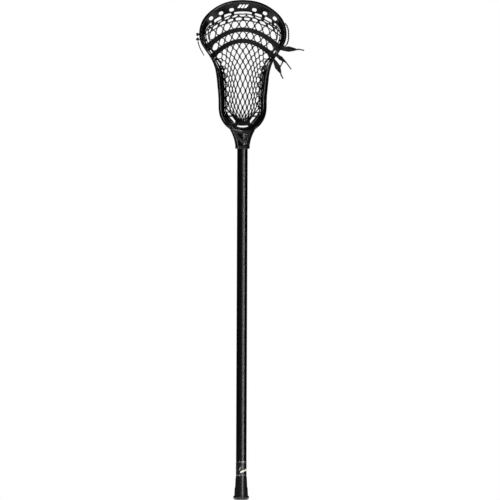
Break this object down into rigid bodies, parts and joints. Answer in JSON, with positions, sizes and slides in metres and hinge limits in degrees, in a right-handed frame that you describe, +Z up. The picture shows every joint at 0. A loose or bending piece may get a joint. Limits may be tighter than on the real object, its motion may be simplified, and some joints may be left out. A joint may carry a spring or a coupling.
{
  "type": "lacrosse stick",
  "caption": "Short lacrosse stick: strung mesh pocket in a moulded head, octagonal metal shaft and a rubber butt cap.",
  "frame": {"origin": "centre of the butt cap's flat foot", "axes": "+Z up the shaft to the scoop, -Y out of the open face that catches the ball, +X to the right seen from that face"},
  "size_m": [0.2242, 0.1076, 1.035],
  "materials": {
    "anodised_alloy": "gloss black over drawn alloy tube",
    "decal_film": "printed film with plain slanted bars",
    "butt_rubber": "moulded black rubber",
    "head_plastic": "satin black moulded nylon",
    "screw_steel": "black zinc",
    "foam_rubber": "closed cell foam",
    "mesh_cord": "knitted black nylon cord",
    "flat_lace": "flat woven black lace",
    "aglet_plastic": "black heat-shrunk tip"
  },
  "bodies": {
    "stick": {"shaft": "anodised_alloy", "shaft_decal": "decal_film", "head_frame": "head_plastic", "ball_stop_pad": "foam_rubber", "top_string": "mesh_cord", "bottom_string": "mesh_cord", "left_sidewall_string": "mesh_cord", "right_sidewall_string": "mesh_cord"},
    "pocket": {"pocket_mesh": "mesh_cord", "shooting_string_upper": "flat_lace", "shooting_string_lower": "flat_lace"},
    "butt_cap": {"end_cap": "butt_rubber"},
    "screw": {"head_screw": "screw_steel"},
    "left_tail": {"left_tail": "mesh_cord"},
    "tail_upper": {"lace_tail_upper": "flat_lace", "aglet_upper": "aglet_plastic"},
    "tail_middle_front": {"lace_tail_middle_front": "flat_lace", "aglet_middle_front": "aglet_plastic"},
    "tail_middle_back": {"lace_tail_middle_back": "flat_lace", "aglet_middle_back": "aglet_plastic"},
    "tail_lower": {"lace_tail_lower": "flat_lace", "aglet_lower": "aglet_plastic"}
  },
  "joints": [
    {"name": "pocket_push", "type": "slide", "parent": "stick", "child": "pocket", "axis": [0, -1, 0], "range_m": [0, 0.038]},
    {"name": "butt_cap_pull", "type": "slide", "parent": "stick", "child": "butt_cap", "axis": [0, 0, -1], "range_m": [0, 0.05]},
    {"name": "head_screw_out", "type": "slide", "parent": "stick", "child": "screw", "axis": [0, 1, 0], "range_m": [0, 0.015]},
    {"name": "left_tail_swing", "type": "hinge", "parent": "stick", "child": "left_tail", "pos_m": [-0.0934, 0.015, 0.949], "axis": [0, 1, 0], "range_deg": [-8, 20]},
    {"name": "tail_upper_swing", "type": "hinge", "parent": "stick", "child": "tail_upper", "pos_m": [0.078, 0.0235, 0.935], "axis": [0, 1, 0], "range_deg": [-15, 35]},
    {"name": "tail_middle_front_swing", "type": "hinge", "parent": "stick", "child": "tail_middle_front", "pos_m": [0.0715, 0.0195, 0.922], "axis": [0, 1, 0], "range_deg": [-15, 10]},
    {"name": "tail_middle_back_swing", "type": "hinge", "parent": "stick", "child": "tail_middle_back", "pos_m": [0.0695, 0.0275, 0.922], "axis": [0, 1, 0], "range_deg": [-15, 20]},
    {"name": "tail_lower_swing", "type": "hinge", "parent": "stick", "child": "tail_lower", "pos_m": [0.066, 0.0155, 0.909], "axis": [0, 1, 0], "range_deg": [-20, 12]}
  ]
}
